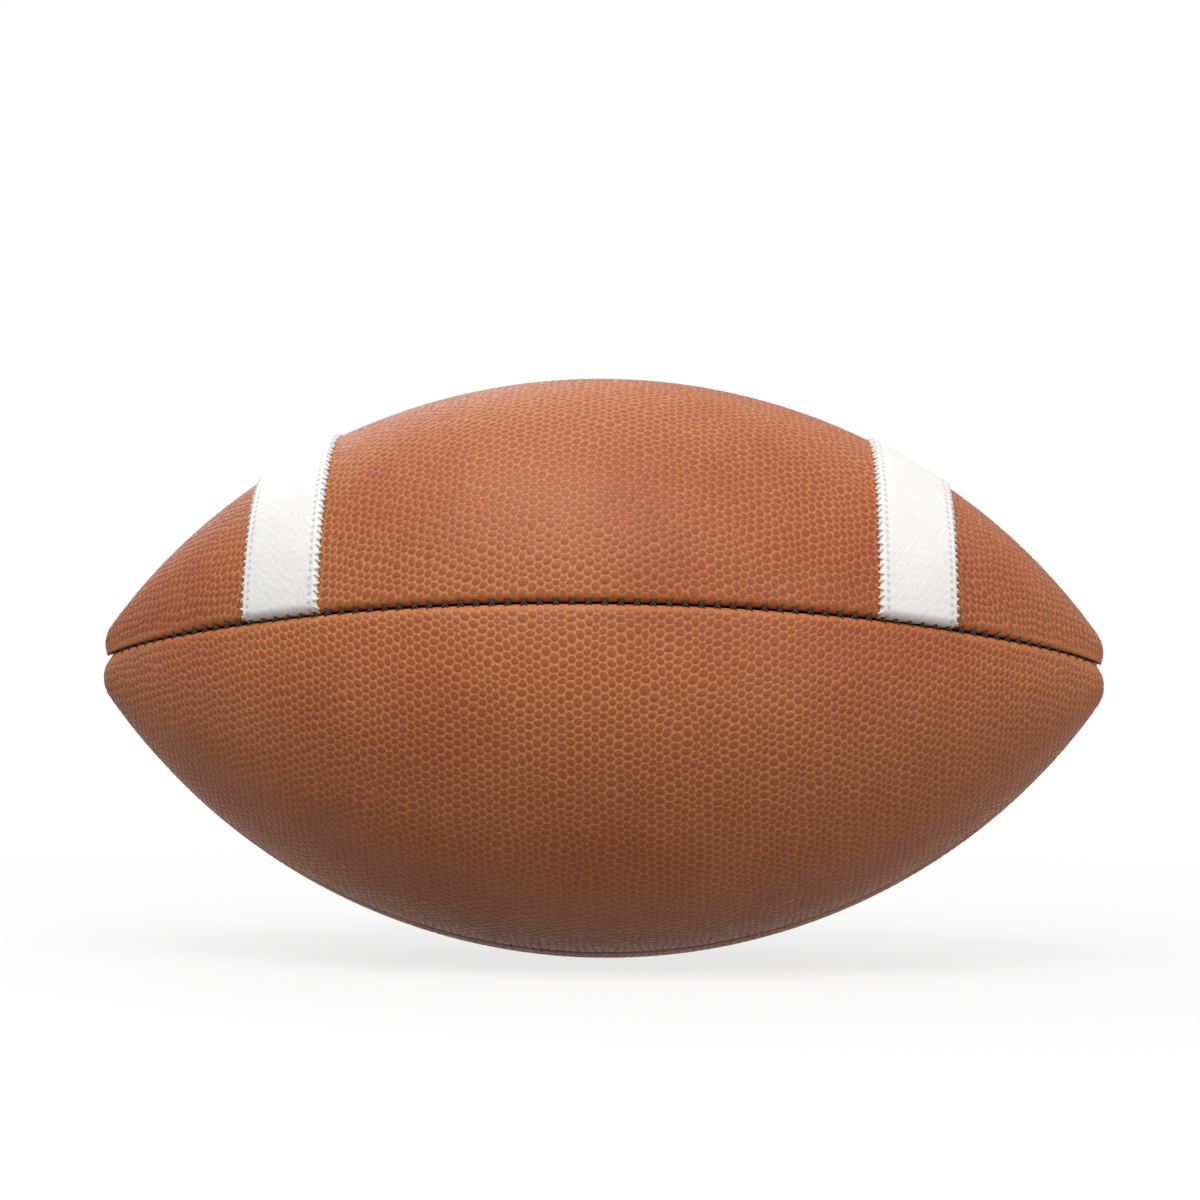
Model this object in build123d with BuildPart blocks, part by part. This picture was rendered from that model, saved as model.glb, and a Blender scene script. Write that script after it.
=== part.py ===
"""American football: four sewn leather panels with linings round a bladder, closed by one long lace.

Lengths are in millimetres and angles in degrees. The origin is the middle of the ball, +X runs
along the ball and +Z is up. The lace seam leans back from straight up by SEAM_LEAN. Each panel
bulges about an axis of its own, so the ball is gently four-lobed, with a dimple at each tip.
"""

import os
from math import acos, asin, atan2, cos, degrees, radians, sin, sqrt

from build123d import *

os.makedirs("parts", exist_ok=True)

# The ball
BALL_LENGTH = 286.0
BALL_DIAMETER = 171.5  # over the middles of opposite panels
NOSE_RADIUS = 9.5  # of each panel's rounded point
LOBE_OFFSET = 6.1  # from the ball's axis to a panel's axis, along both of its seam planes
LACE_DROP = 2.5  # the lace pulls the two upper panels in by this much
SEAM_LEAN = 11.8  # degrees

# Panels and seams
LEATHER = 2.0
LINING = 1.0
SEAM_BEVEL = 1.8  # the leather slants into the seam over this depth and width
SEAM_ALLOWANCE = 7.0  # depth of the edges turned in at a seam
SEAM_GAP = 0.1
CORE_END_RADIUS = 4.0  # of the blunt ends of the space inside the turned-in edges
GLUE_GAP = 0.05
SEAM_FIT_SHARE = 0.9  # where along the ball the seam's circle is fitted

# Threads
SEAM_THREAD = 0.8
SEAM_STITCH_PITCH = 4.2
SEAM_STITCH_LENGTH = 5.2
SEAM_STITCH_DEPTH = 0.9
SEAM_STITCH_SHARE = 0.93  # how far along a half seam the stitches run
STRIPE_THREAD = 0.7
STRIPE_STITCH_PITCH = 2.2
STRIPE_STITCH_LENGTH = 2.8
THREAD_SIDES = 6

# Stripes
STRIPE_THICKNESS = 1.1
STRIPE_INNER = 75.5  # from the middle of the ball to the stripe's nearer edge
STRIPE_WIDTH = 21.5  # along the ball
STRIPE_TUCK = 0.3  # from the stripe's end to the slanting edge of the seam

# Bladder
BLADDER_WALL = 0.8
BLADDER_CLEARANCE = 0.3

# Lace
LACE_BARS = 8
LACE_WIDTH = 6.0
LACE_THICKNESS = 2.2
LACE_PITCH = 14.0
LACE_REACH = 11.0  # from the seam to the middle of a lace hole
LACE_CLEARANCE = 0.3
LACE_LAP = 0.1  # how far a cross bar presses into the long run under it
FACING = 1.2
FACING_WIDTH = 18.0
FACING_MARGIN = 9.0  # past the last lace hole
PAD = 1.2

# Valve
STEM_DIAMETER = 10.5
STEM_LENGTH = 15.0
STEM_RECESS = 0.3
STEM_CLEARANCE = 0.1
FLANGE_DIAMETER = 24.0
FLANGE = 1.6
PLUG_DIAMETER = 4.9
PLUG_LENGTH = 12.5
PLUG_CLEARANCE = 0.25
PLUG_HEAD_DIAMETER = 7.4
PLUG_HEAD = 1.0
NEEDLE_DIAMETER = 2.0
NEEDLE_DEPTH = 11.0

OVERRUN = 8.0  # how far cutting shapes run past what they cut

# Quarters are numbered from the front seam upwards, and quarter q starts at seam q.
QUARTER = 90
HALF_QUARTER = QUARTER / 2
PANEL_NAMES = ("front_upper", "rear_upper", "rear_lower", "front_lower")
SEAM_NAMES = ("front", "lace", "rear", "bottom")
QUARTERS = range(len(PANEL_NAMES))
LACE_SEAM = 1
LACED_QUARTERS = (0, 1)
VALVE_QUARTER = 1
X_AXIS = Vector(1, 0, 0)

# The long outline: one large arc, closed at each end by the arc of the nose
LOBE_RADIUS = BALL_DIAMETER / 2 - LOBE_OFFSET * sqrt(2)
NOSE_CENTRE = BALL_LENGTH / 2 - NOSE_RADIUS
ARC_RADIUS = (NOSE_CENTRE**2 + LOBE_RADIUS**2 - NOSE_RADIUS**2) / (2 * (LOBE_RADIUS - NOSE_RADIUS))
ARC_DROP = ARC_RADIUS - LOBE_RADIUS
NOSE_ANGLE = atan2(ARC_DROP, NOSE_CENTRE)


def lobe_radius_at(x):
    """Radius of a panel about its own axis, at a place along the ball."""
    return sqrt(ARC_RADIUS**2 - x**2) - ARC_DROP


# A seam is close to one arc, through its middle and a place near the tip
SEAM_FIT_X = SEAM_FIT_SHARE * NOSE_CENTRE
SEAM_RISE = sqrt(LOBE_RADIUS**2 - LOBE_OFFSET**2)
SEAM_SAG = SEAM_RISE - sqrt(lobe_radius_at(SEAM_FIT_X) ** 2 - LOBE_OFFSET**2)
SEAM_ARC = (SEAM_FIT_X**2 + SEAM_SAG**2) / (2 * SEAM_SAG)

# Depths of the layers under the skin
LINING_TOP = LEATHER + GLUE_GAP
FACING_TOP = LINING_TOP + LINING + GLUE_GAP
BLADDER_TOP = FACING_TOP + FACING + BLADDER_CLEARANCE
FLANGE_TOP = BLADDER_TOP + BLADDER_WALL + GLUE_GAP
INNER_RUN_TOP = SEAM_ALLOWANCE + LACE_CLEARANCE
PAD_TOP = INNER_RUN_TOP + LACE_THICKNESS + LACE_CLEARANCE
POCKET_TOP = PAD_TOP + PAD + BLADDER_CLEARANCE

# The lace's places along its seam, as angles of the seam's arc
LACE_STEP = degrees(LACE_PITCH / SEAM_ARC)
LACE_ANGLES = [LACE_STEP * (bar - (LACE_BARS - 1) / 2) for bar in range(LACE_BARS)]
LACE_END_ANGLE = LACE_ANGLES[-1] + LACE_STEP / 2
FACING_ANGLE = LACE_END_ANGLE + degrees(FACING_MARGIN / SEAM_ARC)
PAD_HALF_WIDTH = LACE_REACH + LACE_WIDTH / 2 + LACE_CLEARANCE
PAD_ANGLE = LACE_END_ANGLE + degrees(LACE_THICKNESS / SEAM_ARC)
LACE_SLOT_LONG = LACE_WIDTH + 2 * LACE_CLEARANCE
LACE_SLOT_WIDE = LACE_THICKNESS + 2 * LACE_CLEARANCE


def outward(angle):
    """Direction away from the ball's axis, turned up from the front by the angle."""
    return Vector(0, -cos(radians(angle)), sin(radians(angle)))


def around(angle):
    """Direction round the ball, upwards from the front, at the angle."""
    return Vector(0, sin(radians(angle)), cos(radians(angle)))


def seam_angle(seam):
    return SEAM_LEAN + QUARTER * seam


def middle_angle(quarter):
    return seam_angle(quarter) + HALF_QUARTER


def panel_axis(quarter):
    """A point on a panel's own axis, level with the middle of the ball."""
    point = (outward(seam_angle(quarter)) + outward(seam_angle(quarter + 1))) * LOBE_OFFSET
    if quarter in LACED_QUARTERS:
        point = point - outward(seam_angle(LACE_SEAM)) * LACE_DROP
    return point


def seam_axis(seam):
    """The middle of a seam's arc, as a height over the ball's axis."""
    drop = LACE_DROP if seam == LACE_SEAM else 0
    return LOBE_OFFSET - drop + SEAM_RISE - SEAM_ARC


def on_seam(seam, angle, depth):
    """A plane on a seam: x along it, y across it towards its own quarter, z outwards."""
    up = outward(seam_angle(seam))
    along = X_AXIS * cos(radians(angle)) - up * sin(radians(angle))
    normal = X_AXIS * sin(radians(angle)) + up * cos(radians(angle))
    origin = up * seam_axis(seam) + normal * (SEAM_ARC - depth)
    return Plane(origin=origin, x_dir=along, z_dir=normal)


def across_seam(seam, angle):
    """The section of a seam: x across it towards its own quarter, y outwards, z along it."""
    place = on_seam(seam, angle, 0)
    return Plane(origin=place.origin, x_dir=place.y_dir, z_dir=place.x_dir)


def seam_axis_line(seam):
    return Axis(outward(seam_angle(seam)) * seam_axis(seam), around(seam_angle(seam)))


def bulge(quarter, inset):
    """A panel's whole bulge, turned about its own axis, with its skin drawn in by the inset."""
    origin = panel_axis(quarter)
    inward = outward(middle_angle(quarter)) * -1
    nose = NOSE_RADIUS - inset
    tip = NOSE_CENTRE + nose
    turn_x = NOSE_CENTRE + nose * cos(NOSE_ANGLE / 2)
    turn_y = nose * sin(NOSE_ANGLE / 2)
    join_x = NOSE_CENTRE + nose * cos(NOSE_ANGLE)
    join_y = nose * sin(NOSE_ANGLE)
    with BuildPart() as body:
        with BuildSketch(Plane(origin=origin, x_dir=X_AXIS, z_dir=X_AXIS.cross(inward))):
            with BuildLine():
                ThreePointArc((-tip, 0), (-turn_x, turn_y), (-join_x, join_y))
                ThreePointArc((-join_x, join_y), (0, LOBE_RADIUS - inset), (join_x, join_y))
                ThreePointArc((join_x, join_y), (turn_x, turn_y), (tip, 0))
                Line((tip, 0), (-tip, 0))
            make_face()
        revolve(axis=Axis(origin, X_AXIS))
    return body.part


def core(origin, inset, end_radius):
    """A blunt-ended body inside the turned-in edges, about an axis through the origin given."""
    end = sqrt((ARC_RADIUS - inset) ** 2 - (ARC_DROP + end_radius) ** 2)
    with BuildPart() as body:
        with BuildSketch(Plane(origin=origin, x_dir=X_AXIS, z_dir=around(SEAM_LEAN))):
            with BuildLine():
                Line((-end, 0), (-end, end_radius))
                ThreePointArc((-end, end_radius), (0, LOBE_RADIUS - inset), (end, end_radius))
                Line((end, end_radius), (end, 0))
                Line((end, 0), (-end, 0))
            make_face()
        revolve(axis=Axis(origin, X_AXIS))
    return body.part


def quarter_of(solid, quarter, gap):
    """What lies between a quarter's two seam planes, each moved in by the gap."""
    low = around(seam_angle(quarter))
    high = around(seam_angle(quarter + 1)) * -1
    with BuildPart() as piece:
        add(solid)
        split(bisect_by=Plane(origin=low * gap, x_dir=X_AXIS, z_dir=low), keep=Keep.TOP)
        split(bisect_by=Plane(origin=high * gap, x_dir=X_AXIS, z_dir=high), keep=Keep.TOP)
    return piece.part


def seam_bevel(seam):
    """The space over the two slanting edges of a seam."""
    reach = SEAM_BEVEL + OVERRUN
    with BuildPart() as space:
        with BuildSketch(across_seam(seam, 0)):
            with BuildLine():
                Polyline((0, -SEAM_BEVEL), (reach, OVERRUN), (-reach, OVERRUN), close=True)
            make_face()
        revolve(axis=seam_axis_line(seam))
    return space.part


def seam_band(seam, half_width, inner, outer, half_angle):
    """A strip that follows a seam's arc, between two heights over it."""
    with BuildPart() as band:
        with BuildSketch(across_seam(seam, -half_angle)):
            with Locations((0, (inner + outer) / 2)):
                Rectangle(2 * half_width, outer - inner)
        revolve(axis=seam_axis_line(seam), revolution_arc=2 * half_angle)
    return band.part


def lace_slots(side):
    """The row of lace holes on one side of the lace seam, as cutting shapes."""
    with BuildPart() as slots:
        for angle in LACE_ANGLES:
            with BuildSketch(on_seam(LACE_SEAM, angle, 0)):
                with Locations((0, side * LACE_REACH)):
                    Rectangle(LACE_SLOT_LONG, LACE_SLOT_WIDE)
        extrude(amount=OVERRUN, both=True)
    return slots.part


def end_slots():
    """The two holes on the lace seam where the long run of lace goes in."""
    with BuildPart() as slots:
        for angle in (-LACE_END_ANGLE, LACE_END_ANGLE):
            with BuildSketch(on_seam(LACE_SEAM, angle, 0)):
                Rectangle(LACE_SLOT_WIDE, LACE_SLOT_LONG)
        extrude(amount=SEAM_ALLOWANCE + OVERRUN, both=True)
    return slots.part


def valve_plane():
    """On the skin in the middle of the valve's panel, z outwards."""
    up = outward(middle_angle(VALVE_QUARTER))
    return Plane(origin=panel_axis(VALVE_QUARTER) + up * LOBE_RADIUS, x_dir=X_AXIS, z_dir=up)


def valve_hole(clearance):
    with BuildPart() as hole:
        with BuildSketch(valve_plane()):
            Circle(STEM_DIAMETER / 2 + clearance)
        extrude(amount=STEM_LENGTH + OVERRUN, both=True)
    return hole.part


def lace_side(quarter):
    """Which way a laced quarter lies from the lace seam."""
    return 1 if quarter == LACE_SEAM else -1


LACE_SLOTS = {quarter: lace_slots(lace_side(quarter)) for quarter in LACED_QUARTERS}
END_SLOTS = end_slots()
VALVE_HOLE = valve_hole(STEM_CLEARANCE)

# Leather panels: a bulged skin with its edges turned in at the seams
for quarter in QUARTERS:
    with BuildPart() as panel:
        add(quarter_of(bulge(quarter, 0), quarter, SEAM_GAP / 2))
        for seam in (quarter, (quarter + 1) % len(SEAM_NAMES)):
            add(seam_bevel(seam), mode=Mode.SUBTRACT)
        hollow = quarter_of(bulge(quarter, LEATHER), quarter, LEATHER + SEAM_GAP / 2)
        add(hollow, mode=Mode.SUBTRACT)
        add(core(panel_axis(quarter), SEAM_ALLOWANCE, CORE_END_RADIUS), mode=Mode.SUBTRACT)
        if quarter in LACED_QUARTERS:
            add(LACE_SLOTS[quarter], mode=Mode.SUBTRACT)
            add(END_SLOTS, mode=Mode.SUBTRACT)
        if quarter == VALVE_QUARTER:
            add(VALVE_HOLE, mode=Mode.SUBTRACT)
    panel.part.label = "panel_" + PANEL_NAMES[quarter]
    export_step(panel.part, f"parts/{panel.part.label}.step")

# Linings: a layered cloth sheet glued inside each panel
for quarter in QUARTERS:
    with BuildPart() as lining:
        edge = LEATHER + SEAM_GAP / 2 + GLUE_GAP
        add(quarter_of(bulge(quarter, LINING_TOP), quarter, edge))
        add(bulge(quarter, LINING_TOP + LINING), mode=Mode.SUBTRACT)
        if quarter in LACED_QUARTERS:
            add(LACE_SLOTS[quarter], mode=Mode.SUBTRACT)
            add(END_SLOTS, mode=Mode.SUBTRACT)
        if quarter == VALVE_QUARTER:
            add(VALVE_HOLE, mode=Mode.SUBTRACT)
    lining.part.label = "lining_" + PANEL_NAMES[quarter]
    export_step(lining.part, f"parts/{lining.part.label}.step")

# Stripes: bands sewn on the two laced panels, from seam to seam
for quarter in LACED_QUARTERS:
    skin = bulge(quarter, -GLUE_GAP)
    band = quarter_of(bulge(quarter, -STRIPE_THICKNESS), quarter, SEAM_BEVEL + STRIPE_TUCK)
    for end, name in ((-1, "left"), (1, "right")):
        near = Plane(origin=X_AXIS * end * STRIPE_INNER, z_dir=X_AXIS * end)
        far = Plane(origin=X_AXIS * end * (STRIPE_INNER + STRIPE_WIDTH), z_dir=X_AXIS * end)
        with BuildPart() as stripe:
            add(band)
            split(bisect_by=near, keep=Keep.TOP)
            split(bisect_by=far, keep=Keep.BOTTOM)
            add(skin, mode=Mode.SUBTRACT)
        stripe.part.label = f"stripe_{PANEL_NAMES[quarter].split('_')[0]}_{name}"
        export_step(stripe.part, f"parts/{stripe.part.label}.step")

# Stripe threads: short stitches that climb from the leather over both edges of a stripe
STITCH_CLIMB = atan2(STRIPE_THICKNESS, STRIPE_STITCH_LENGTH)


def stripe_stitch_angles(quarter, x):
    """Places of the stitches round a panel's axis, between its two seams."""
    radius = lobe_radius_at(x)
    axis_point = panel_axis(quarter)
    from_low = axis_point.dot(around(seam_angle(quarter)))
    from_high = -axis_point.dot(around(seam_angle(quarter + 1)))
    margin = SEAM_BEVEL + STRIPE_TUCK + STRIPE_THREAD
    low = HALF_QUARTER - degrees(acos((margin - from_low) / radius))
    high = degrees(acos((margin - from_high) / radius)) - HALF_QUARTER
    count = int(radians(high - low) * radius / STRIPE_STITCH_PITCH)
    return [low + (high - low) * step / count for step in range(count + 1)]


for quarter in LACED_QUARTERS:
    for end, name in ((-1, "left"), (1, "right")):
        with BuildPart() as thread:
            for x, climbs in ((STRIPE_INNER, 1), (STRIPE_INNER + STRIPE_WIDTH, -1)):
                slope = asin(x / ARC_RADIUS)
                radius = lobe_radius_at(x) + STRIPE_THICKNESS / 2 * cos(slope)
                for angle in stripe_stitch_angles(quarter, x):
                    away = outward(middle_angle(quarter) + angle)
                    along = X_AXIS * end * cos(slope) - away * sin(slope)
                    normal = X_AXIS * end * sin(slope) + away * cos(slope)
                    place = panel_axis(quarter) + away * radius
                    place = place + X_AXIS * end * (x + STRIPE_THICKNESS / 2 * sin(slope))
                    run = along * climbs * cos(STITCH_CLIMB) + normal * sin(STITCH_CLIMB)
                    with BuildSketch(Plane(origin=place, z_dir=run)):
                        RegularPolygon(STRIPE_THREAD / 2, THREAD_SIDES)
            extrude(amount=STRIPE_STITCH_LENGTH / 2, both=True)
        thread.part.label = f"stripe_thread_{PANEL_NAMES[quarter].split('_')[0]}_{name}"
        export_step(thread.part, f"parts/{thread.part.label}.step")

# Seam threads: stitches that draw two panels' edges together, across the seam
SEAM_STITCH_STEP = degrees(SEAM_STITCH_PITCH / SEAM_ARC)
SEAM_STITCH_END = degrees(asin(SEAM_STITCH_SHARE * NOSE_CENTRE / SEAM_ARC))
for seam, name in enumerate(SEAM_NAMES):
    steps = int(SEAM_STITCH_END / SEAM_STITCH_STEP)
    with BuildPart() as thread:
        for step in range(-steps, steps + 1):
            angle = step * SEAM_STITCH_STEP
            if seam == LACE_SEAM and abs(angle) < FACING_ANGLE:
                continue
            place = on_seam(seam, angle, SEAM_STITCH_DEPTH)
            with BuildSketch(Plane(origin=place.origin, x_dir=place.x_dir, z_dir=place.y_dir)):
                RegularPolygon(SEAM_THREAD / 2, THREAD_SIDES)
        extrude(amount=SEAM_STITCH_LENGTH / 2, both=True)
    thread.part.label = "seam_thread_" + name
    export_step(thread.part, f"parts/{thread.part.label}.step")


# Bladder: a thin airtight skin that fills the linings, with a pocket under the lace
def bladder_body(inset):
    axis_point = outward(seam_angle(LACE_SEAM)) * -(LACE_DROP / 2)
    with BuildPart() as body:
        end_radius = CORE_END_RADIUS + LOBE_OFFSET * sqrt(2)
        add(core(axis_point, SEAM_ALLOWANCE + BLADDER_CLEARANCE + inset, end_radius))
        for quarter in QUARTERS:
            edge = LEATHER + SEAM_GAP / 2 + BLADDER_CLEARANCE + inset
            add(quarter_of(bulge(quarter, BLADDER_TOP + inset), quarter, edge))
        pocket = seam_band(
            LACE_SEAM,
            PAD_HALF_WIDTH + BLADDER_CLEARANCE + inset,
            -POCKET_TOP - inset,
            OVERRUN,
            PAD_ANGLE + degrees((BLADDER_CLEARANCE + inset) / SEAM_ARC),
        )
        add(pocket, mode=Mode.SUBTRACT)
    return body.part


with BuildPart() as bladder:
    add(bladder_body(0))
    add(bladder_body(BLADDER_WALL), mode=Mode.SUBTRACT)
    add(VALVE_HOLE, mode=Mode.SUBTRACT)
bladder.part.label = "bladder"
export_step(bladder.part, "parts/bladder.step")

# Valve housing: a stem through the wall, with a flange bonded inside the bladder
BORE_RADIUS = PLUG_DIAMETER / 2 + PLUG_CLEARANCE
SEAT_RADIUS = PLUG_HEAD_DIAMETER / 2 + PLUG_CLEARANCE
SEAT_DEPTH = STEM_RECESS + PLUG_HEAD + PLUG_CLEARANCE
with BuildPart() as housing:
    with BuildSketch(valve_plane().offset(-STEM_LENGTH)):
        Circle(FLANGE_DIAMETER / 2)
    extrude(amount=STEM_LENGTH)
    add(bulge(VALVE_QUARTER, FLANGE_TOP), mode=Mode.INTERSECT)
    add(bulge(VALVE_QUARTER, FLANGE_TOP + FLANGE), mode=Mode.SUBTRACT)
    with BuildSketch(valve_plane().offset(-STEM_LENGTH)):
        Circle(STEM_DIAMETER / 2)
    extrude(amount=STEM_LENGTH - STEM_RECESS)
    with BuildSketch(valve_plane().offset(-STEM_LENGTH)):
        Circle(BORE_RADIUS)
    extrude(amount=STEM_LENGTH, mode=Mode.SUBTRACT)
    with BuildSketch(valve_plane().offset(-SEAT_DEPTH)):
        Circle(SEAT_RADIUS)
    extrude(amount=SEAT_DEPTH, mode=Mode.SUBTRACT)
housing.part.label = "valve_housing"
export_step(housing.part, "parts/valve_housing.step")

# Valve plug: a soft plug with a blind hole for the needle
with BuildPart() as plug:
    with BuildSketch(valve_plane().offset(-STEM_RECESS)):
        Circle(PLUG_HEAD_DIAMETER / 2)
    extrude(amount=-PLUG_HEAD)
    with BuildSketch(valve_plane().offset(-STEM_RECESS)):
        Circle(PLUG_DIAMETER / 2)
    extrude(amount=-PLUG_LENGTH)
    with BuildSketch(valve_plane().offset(-STEM_RECESS)):
        Circle(NEEDLE_DIAMETER / 2)
    extrude(amount=-NEEDLE_DEPTH, mode=Mode.SUBTRACT)
plug.part.label = "valve_plug"
export_step(plug.part, "parts/valve_plug.step")

# Lace facings: strips that strengthen the lace holes from inside
for quarter in LACED_QUARTERS:
    side = lace_side(quarter)
    with BuildPart() as facing:
        edge = LEATHER + SEAM_GAP / 2 + GLUE_GAP
        add(quarter_of(bulge(quarter, FACING_TOP), quarter, edge))
        add(seam_band(LACE_SEAM, FACING_WIDTH, -OVERRUN, OVERRUN, FACING_ANGLE), mode=Mode.INTERSECT)
        add(bulge(quarter, FACING_TOP + FACING), mode=Mode.SUBTRACT)
        add(LACE_SLOTS[quarter], mode=Mode.SUBTRACT)
        add(END_SLOTS, mode=Mode.SUBTRACT)
    facing.part.label = "lace_facing_" + PANEL_NAMES[quarter].split("_")[0]
    export_step(facing.part, f"parts/{facing.part.label}.step")

# Lace pad: keeps the inner runs of the lace off the bladder
with BuildPart() as pad:
    add(seam_band(LACE_SEAM, PAD_HALF_WIDTH, -PAD_TOP - PAD, -PAD_TOP, PAD_ANGLE))
pad.part.label = "lace_pad"
export_step(pad.part, "parts/lace_pad.step")

# Lace: one flat lace. Its long run lies on the seam, the bars cross over it and go in through
# the holes, and slanting runs join one bar to the next inside.
SEAT_RISE = sqrt(LOBE_RADIUS**2 - (LACE_REACH - LOBE_OFFSET) ** 2) - SEAM_RISE + LACE_CLEARANCE
LONG_RUN_TOP = SEAT_RISE + LACE_THICKNESS
BAR_RISE = LONG_RUN_TOP - LACE_LAP
LEG_OUT = LACE_REACH + LACE_THICKNESS / 2
LEG_IN = LACE_REACH - LACE_THICKNESS / 2
LEG_LENGTH = SEAT_RISE + INNER_RUN_TOP + LACE_THICKNESS
INNER_RUN_LENGTH = sqrt(LACE_PITCH**2 + (2 * LACE_REACH) ** 2)
INNER_RUN_TURN = degrees(atan2(2 * LACE_REACH, LACE_PITCH))
with BuildPart() as lace:
    add(seam_band(LACE_SEAM, LACE_WIDTH / 2, SEAT_RISE, LONG_RUN_TOP, LACE_END_ANGLE))
    for angle in LACE_ANGLES:
        with BuildSketch(across_seam(LACE_SEAM, angle)):
            with BuildLine():
                ThreePointArc((-LEG_OUT, SEAT_RISE), (0, BAR_RISE + LACE_THICKNESS), (LEG_OUT, SEAT_RISE))
                Line((LEG_OUT, SEAT_RISE), (LEG_IN, SEAT_RISE))
                ThreePointArc((LEG_IN, SEAT_RISE), (0, BAR_RISE), (-LEG_IN, SEAT_RISE))
                Line((-LEG_IN, SEAT_RISE), (-LEG_OUT, SEAT_RISE))
            make_face()
            with Locations((-LACE_REACH, SEAT_RISE), (LACE_REACH, SEAT_RISE)):
                Rectangle(LACE_THICKNESS, LEG_LENGTH, align=(Align.CENTER, Align.MAX))
        extrude(amount=LACE_WIDTH / 2, both=True)
    for angle in LACE_ANGLES[:-1]:
        place = on_seam(LACE_SEAM, angle + LACE_STEP / 2, INNER_RUN_TOP + LACE_THICKNESS)
        with BuildSketch(place):
            SlotCenterToCenter(INNER_RUN_LENGTH, LACE_WIDTH, rotation=INNER_RUN_TURN)
        extrude(amount=LACE_THICKNESS)
    for end in (-1, 1):
        with BuildSketch(on_seam(LACE_SEAM, end * LACE_END_ANGLE, 0).offset(LONG_RUN_TOP)):
            Rectangle(LACE_THICKNESS, LACE_WIDTH)
        extrude(amount=-(LONG_RUN_TOP + INNER_RUN_TOP + LACE_THICKNESS))
lace.part.label = "lace"
export_step(lace.part, "parts/lace.step")
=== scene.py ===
"""Dresses the football: pebbled leather, sewn stripes, threads, lace and valve, on a plain pale stage."""

import math

import bmesh
import bpy
import numpy as np
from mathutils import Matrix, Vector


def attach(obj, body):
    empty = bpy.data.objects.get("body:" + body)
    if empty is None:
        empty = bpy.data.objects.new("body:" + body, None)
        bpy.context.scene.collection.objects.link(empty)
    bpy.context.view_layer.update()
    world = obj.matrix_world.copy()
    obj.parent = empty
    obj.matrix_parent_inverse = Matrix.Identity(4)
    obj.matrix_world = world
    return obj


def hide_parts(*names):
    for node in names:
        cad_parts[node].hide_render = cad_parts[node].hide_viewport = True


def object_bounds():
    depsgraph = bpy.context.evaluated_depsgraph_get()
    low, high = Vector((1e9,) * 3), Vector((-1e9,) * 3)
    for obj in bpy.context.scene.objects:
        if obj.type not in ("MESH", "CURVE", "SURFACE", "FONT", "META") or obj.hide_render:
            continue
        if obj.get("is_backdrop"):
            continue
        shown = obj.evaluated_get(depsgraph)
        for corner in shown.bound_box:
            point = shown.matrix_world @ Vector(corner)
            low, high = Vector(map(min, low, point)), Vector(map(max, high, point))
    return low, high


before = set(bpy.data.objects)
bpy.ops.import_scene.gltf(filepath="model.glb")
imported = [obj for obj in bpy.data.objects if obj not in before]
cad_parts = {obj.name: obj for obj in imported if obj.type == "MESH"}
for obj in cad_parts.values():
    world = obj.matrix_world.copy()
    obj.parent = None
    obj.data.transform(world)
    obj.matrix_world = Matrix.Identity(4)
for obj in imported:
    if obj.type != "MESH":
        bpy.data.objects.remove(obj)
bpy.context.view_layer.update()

bl_info = {
    "name": "Football finish",
    "version": (1, 0, 0),
    "blender": (4, 5, 0),
    "location": "View3D > Sidebar > Football",
    "description": "Builds the leather, stripes and stitching of a football round its solids",
    "category": "Object",
}

MM = 0.001

# The ball's form, in millimetres, as its solids have it
LENGTH = 286.0
DIAMETER = 171.5
NOSE_RADIUS = 9.5
LOBE_OFFSET = 6.1
LACE_DROP = 2.5
SEAM_LEAN = 11.8
PANELS = ("front_upper", "rear_upper", "rear_lower", "front_lower")
SEAMS = ("front", "lace", "rear", "bottom")
LACED = (0, 1)
LACE_SEAM = 1
ENDS = ((-1, "left"), (1, "right"))
LOBE_RADIUS = DIAMETER / 2 - LOBE_OFFSET * math.sqrt(2)
NOSE_CENTRE = LENGTH / 2 - NOSE_RADIUS
ARC_RADIUS = (NOSE_CENTRE**2 + LOBE_RADIUS**2 - NOSE_RADIUS**2) / (2 * (LOBE_RADIUS - NOSE_RADIUS))
ARC_DROP = ARC_RADIUS - LOBE_RADIUS
ARC_ANGLE = math.asin(NOSE_CENTRE / (ARC_RADIUS - NOSE_RADIUS))
ARC_LENGTH = ARC_RADIUS * ARC_ANGLE
HALF_MERIDIAN = ARC_LENGTH + NOSE_RADIUS * (math.pi / 2 - ARC_ANGLE)

# How the skin turns in at the tips, where a panel is narrower than its seam's distance
TIP_SHARE = 0.4
TIP_TURN = math.radians(40)

# Fineness of the modelled skin
PANEL_ROWS = 500
PANEL_COLUMNS = 184
STRIPE_ROWS = 56
STRIPE_COLUMNS = 190
INNER_COLUMNS = (-1.0, -0.9, -0.5, 0.0, 0.5, 0.9, 1.0)
LACE_RING_POINTS = 20
LACE_RUN_POINTS = 90
BAR_POINTS = 45

# Leather, in millimetres apart from the pebbles' wave levels and the shares
PEBBLE_FOOT = -1.12
PEBBLE_TOP = -0.35
PEBBLE_SUNK_SHARE = 0.6
WARP_WAVES = 6
WARP_SHARE = 0.075
WARP_LENGTH_SHARES = (2.8, 6.5)
LEATHER_DEPTH = 2.2
FLANGE_DEPTH = 6.0
FULL_ROLL_RADIUS = 42.0
LEAST_ROLL_SHARE = 0.12
SMOOTH_EDGE = 0.6
SMOOTH_FADE_SHARE = 1.25
SMOOTH_SHADE_SHARE = 0.5

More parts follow.
